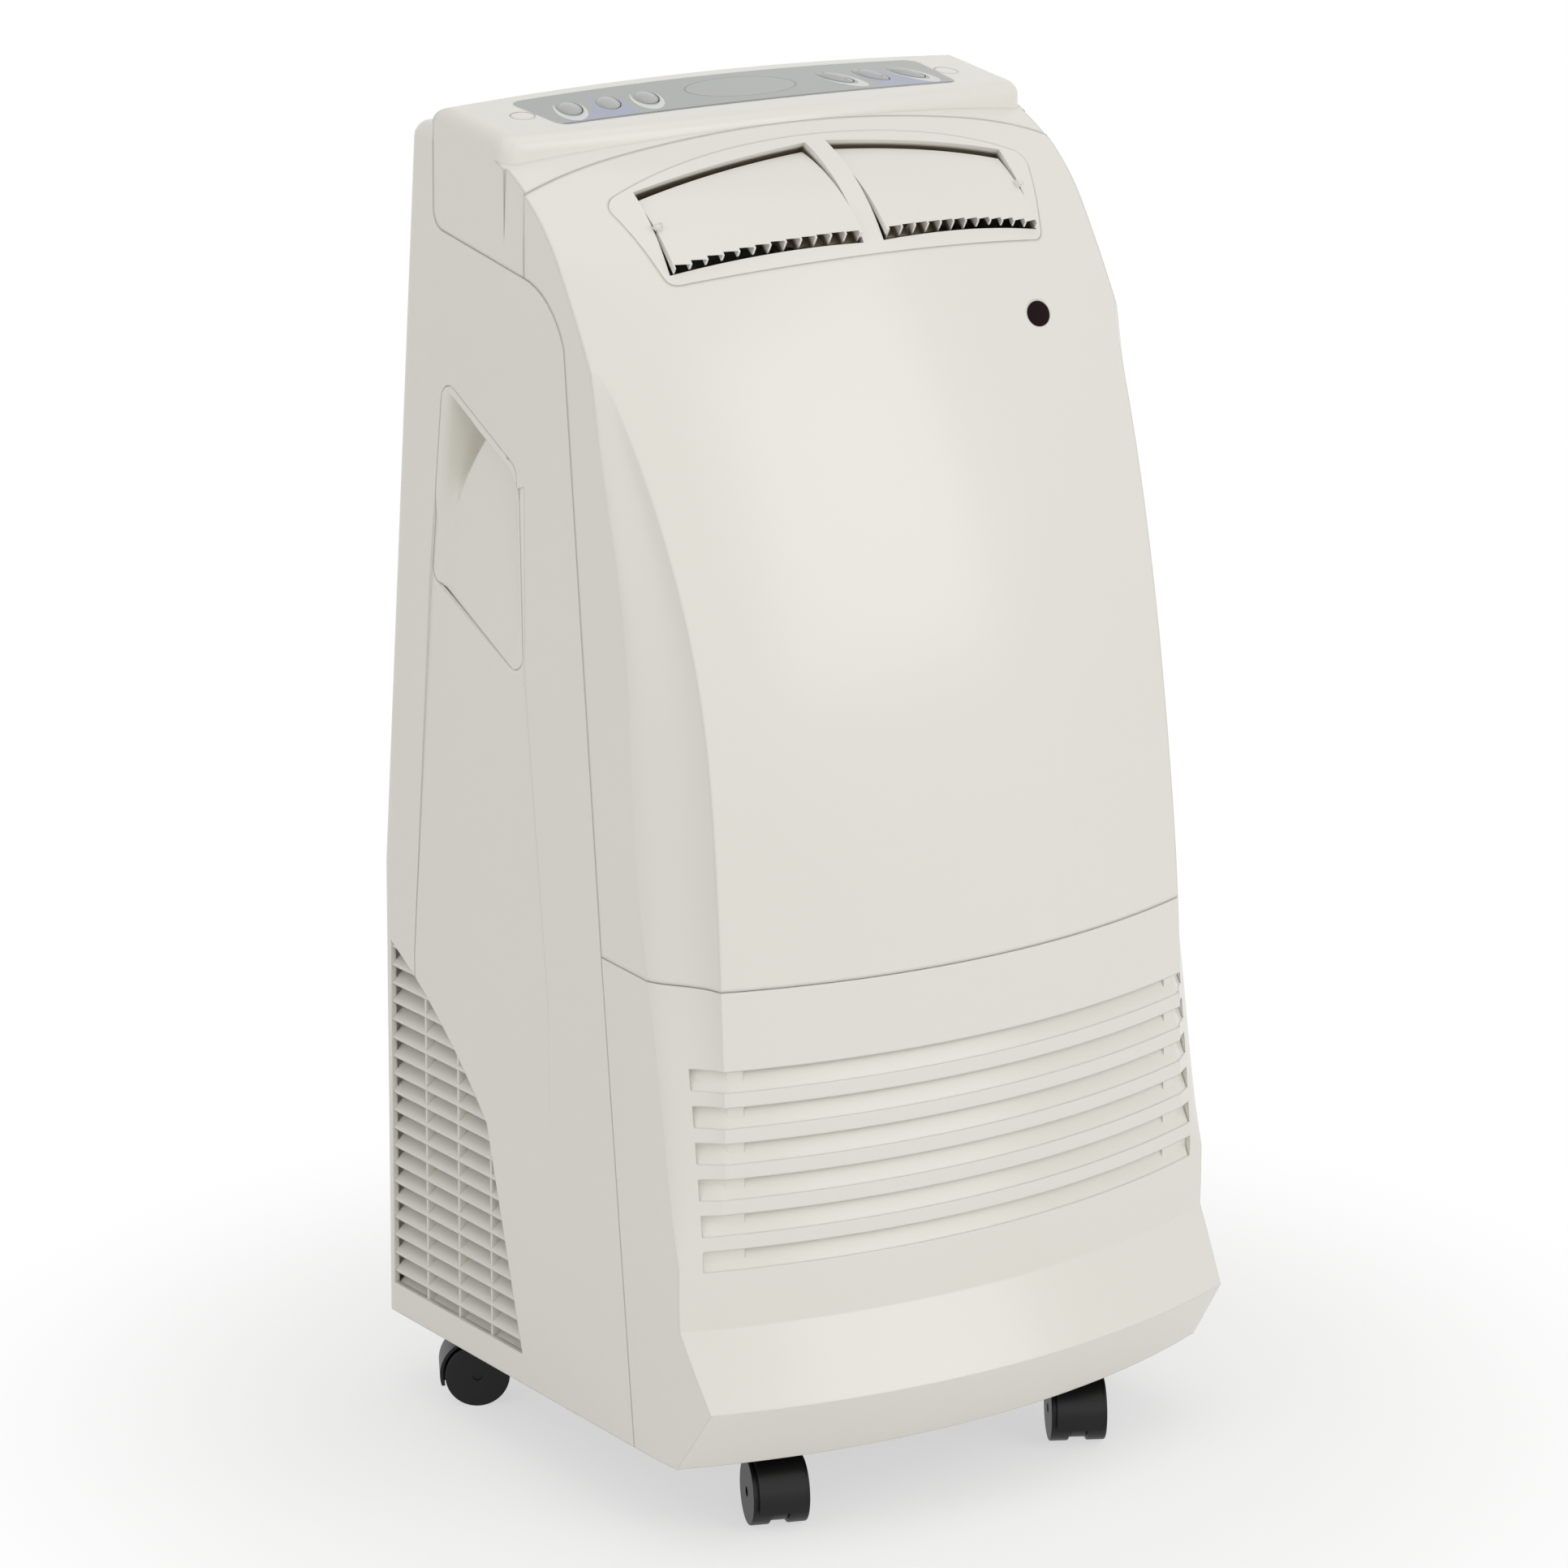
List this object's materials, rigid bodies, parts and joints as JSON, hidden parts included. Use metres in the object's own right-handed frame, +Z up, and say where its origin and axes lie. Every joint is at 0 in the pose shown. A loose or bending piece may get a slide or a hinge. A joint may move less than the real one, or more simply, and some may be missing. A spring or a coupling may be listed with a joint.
{
  "type": "portable air conditioner",
  "caption": "Upright portable air conditioner: bowed white housing on swivel casters, louvred front, tilting outlet flaps, push-button top and rear exhaust collar.",
  "frame": {"origin": "on the floor, under the middle of the housing", "axes": "+Z up, front faces -Y, +X to the right seen from the front"},
  "size_m": [0.3856, 0.389, 0.8161],
  "materials": {
    "housing_white": "moulded warm white, satin gloss",
    "outlet_white": "moulded white",
    "panel_grey": "printed grey film",
    "display_grey": "tinted window",
    "lens_dark": "dark red window",
    "button_grey": "domed grey cap",
    "caster_black": "black nylon",
    "steel": "zinc plated",
    "rubber_black": "matte",
    "compressor_black": "black enamel",
    "coil_aluminium": "bare fins",
    "pipe_copper": "copper tube",
    "sheet_steel": "galvanised grey",
    "inner_plastic": "grey moulding",
    "filter_mesh": "woven mesh",
    "can_aluminium": "drawn can",
    "board_green": "circuit board"
  },
  "bodies": {
    "housing": {"base_pan": "inner_plastic", "upper_front_panel": "housing_white", "lower_front_panel": "housing_white", "left_side_panel": "housing_white", "right_side_panel": "housing_white", "rear_panel": "housing_white", "top_cover": "housing_white", "left_handle_insert": "housing_white", "right_handle_insert": "housing_white", "vent_frame": "outlet_white", "control_overlay": "panel_grey", "display_window": "display_grey", "ir_lens": "lens_dark", "screw_plugs": "housing_white", "exhaust_collar": "housing_white", "drain_plug": "rubber_black", "cord_gland": "rubber_black", "rear_screws": "steel", "compressor": "compressor_black", "compressor_mounts": "rubber_black", "condenser_coil": "coil_aluminium", "evaporator_coil": "coil_aluminium", "refrigerant_pipes": "pipe_copper", "partition_plate": "sheet_steel", "condenser_blower_housing": "inner_plastic", "condenser_fan_motor": "sheet_steel", "evaporator_blower_housing": "inner_plastic", "evaporator_fan_motor": "sheet_steel", "air_filter": "filter_mesh", "capacitor": "can_aluminium", "control_board": "board_green"},
    "left_flap": {"left_flap": "outlet_white"},
    "right_flap": {"right_flap": "outlet_white"},
    "left_button_1": {"left_button_1": "button_grey"},
    "left_button_2": {"left_button_2": "button_grey"},
    "left_button_3": {"left_button_3": "button_grey"},
    "right_button_1": {"right_button_1": "button_grey"},
    "right_button_2": {"right_button_2": "button_grey"},
    "right_button_3": {"right_button_3": "button_grey"},
    "front_left_caster": {"front_left_caster_fork": "caster_black", "front_left_caster_axle": "steel"},
    "front_left_wheel_a": {"front_left_caster_wheel_a": "caster_black"},
    "front_left_wheel_b": {"front_left_caster_wheel_b": "caster_black"},
    "front_right_caster": {"front_right_caster_fork": "caster_black", "front_right_caster_axle": "steel"},
    "front_right_wheel_a": {"front_right_caster_wheel_a": "caster_black"},
    "front_right_wheel_b": {"front_right_caster_wheel_b": "caster_black"},
    "rear_left_caster": {"rear_left_caster_fork": "caster_black", "rear_left_caster_axle": "steel"},
    "rear_left_wheel_a": {"rear_left_caster_wheel_a": "caster_black"},
    "rear_left_wheel_b": {"rear_left_caster_wheel_b": "caster_black"},
    "rear_right_caster": {"rear_right_caster_fork": "caster_black", "rear_right_caster_axle": "steel"},
    "rear_right_wheel_a": {"rear_right_caster_wheel_a": "caster_black"},
    "rear_right_wheel_b": {"rear_right_caster_wheel_b": "caster_black"},
    "condenser_blower": {"condenser_blower_wheel": "inner_plastic"},
    "evaporator_blower": {"evaporator_blower_wheel": "inner_plastic"}
  },
  "joints": [
    {"name": "left_flap_tilt", "type": "hinge", "parent": "housing", "child": "left_flap", "pos_m": [-0.07, -0.02293, 0.75592], "axis": [-1, 0, 0], "range_deg": [-9, 21]},
    {"name": "right_flap_tilt", "type": "hinge", "parent": "housing", "child": "right_flap", "pos_m": [0.07, -0.02293, 0.75592], "axis": [-1, 0, 0], "range_deg": [-9, 21]},
    {"name": "left_button_1_press", "type": "slide", "parent": "housing", "child": "left_button_1", "axis": [0, 0.1305, -0.9914], "range_m": [0, 0.0012], "stiffness_N_per_m": 500, "springref_m": -0.0008},
    {"name": "left_button_2_press", "type": "slide", "parent": "housing", "child": "left_button_2", "axis": [0, 0.1305, -0.9914], "range_m": [0, 0.0012], "stiffness_N_per_m": 500, "springref_m": -0.0008},
    {"name": "left_button_3_press", "type": "slide", "parent": "housing", "child": "left_button_3", "axis": [0, 0.1305, -0.9914], "range_m": [0, 0.0012], "stiffness_N_per_m": 500, "springref_m": -0.0008},
    {"name": "right_button_1_press", "type": "slide", "parent": "housing", "child": "right_button_1", "axis": [0, 0.1305, -0.9914], "range_m": [0, 0.0012], "stiffness_N_per_m": 500, "springref_m": -0.0008},
    {"name": "right_button_2_press", "type": "slide", "parent": "housing", "child": "right_button_2", "axis": [0, 0.1305, -0.9914], "range_m": [0, 0.0012], "stiffness_N_per_m": 500, "springref_m": -0.0008},
    {"name": "right_button_3_press", "type": "slide", "parent": "housing", "child": "right_button_3", "axis": [0, 0.1305, -0.9914], "range_m": [0, 0.0012], "stiffness_N_per_m": 500, "springref_m": -0.0008},
    {"name": "front_left_caster_swivel", "type": "hinge", "parent": "housing", "child": "front_left_caster", "pos_m": [-0.113, -0.11, 0.05], "axis": [0, 0, 1], "continuous": true},
    {"name": "front_left_wheel_a_roll", "type": "hinge", "parent": "front_left_caster", "child": "front_left_wheel_a", "pos_m": [-0.12012, -0.12762, 0.02], "axis": [0.9272, -0.3746, 0], "continuous": true},
    {"name": "front_left_wheel_b_roll", "type": "hinge", "parent": "front_left_caster", "child": "front_left_wheel_b", "pos_m": [-0.12012, -0.12762, 0.02], "axis": [0.9272, -0.3746, 0], "continuous": true},
    {"name": "front_right_caster_swivel", "type": "hinge", "parent": "housing", "child": "front_right_caster", "pos_m": [0.113, -0.11, 0.05], "axis": [0, 0, 1], "continuous": true},
    {"name": "front_right_wheel_a_roll", "type": "hinge", "parent": "front_right_caster", "child": "front_right_wheel_a", "pos_m": [0.1035, -0.12645, 0.02], "axis": [0.866, -0.5, 0], "continuous": true},
    {"name": "front_right_wheel_b_roll", "type": "hinge", "parent": "front_right_caster", "child": "front_right_wheel_b", "pos_m": [0.1035, -0.12645, 0.02], "axis": [0.866, -0.5, 0], "continuous": true},
    {"name": "rear_left_caster_swivel", "type": "hinge", "parent": "housing", "child": "rear_left_caster", "pos_m": [-0.144, 0.13, 0.05], "axis": [0, 0, 1], "continuous": true},
    {"name": "rear_left_wheel_a_roll", "type": "hinge", "parent": "rear_left_caster", "child": "rear_left_wheel_a", "pos_m": [-0.16045, 0.1395, 0.02], "axis": [-0.5, -0.866, 0], "continuous": true},
    {"name": "rear_left_wheel_b_roll", "type": "hinge", "parent": "rear_left_caster", "child": "rear_left_wheel_b", "pos_m": [-0.16045, 0.1395, 0.02], "axis": [-0.5, -0.866, 0], "continuous": true},
    {"name": "rear_right_caster_swivel", "type": "hinge", "parent": "housing", "child": "rear_right_caster", "pos_m": [0.144, 0.13, 0.05], "axis": [0, 0, 1], "continuous": true},
    {"name": "rear_right_wheel_a_roll", "type": "hinge", "parent": "rear_right_caster", "child": "rear_right_wheel_a", "pos_m": [0.1535, 0.11355, 0.02], "axis": [0.866, 0.5, 0], "continuous": true},
    {"name": "rear_right_wheel_b_roll", "type": "hinge", "parent": "rear_right_caster", "child": "rear_right_wheel_b", "pos_m": [0.1535, 0.11355, 0.02], "axis": [0.866, 0.5, 0], "continuous": true},
    {"name": "condenser_blower_spin", "type": "hinge", "parent": "housing", "child": "condenser_blower", "pos_m": [-0.072, 0.078, 0.192], "axis": [1, 0, 0], "continuous": true},
    {"name": "evaporator_blower_spin", "type": "hinge", "parent": "housing", "child": "evaporator_blower", "pos_m": [0, 0.026, 0.512], "axis": [1, 0, 0], "continuous": true}
  ]
}
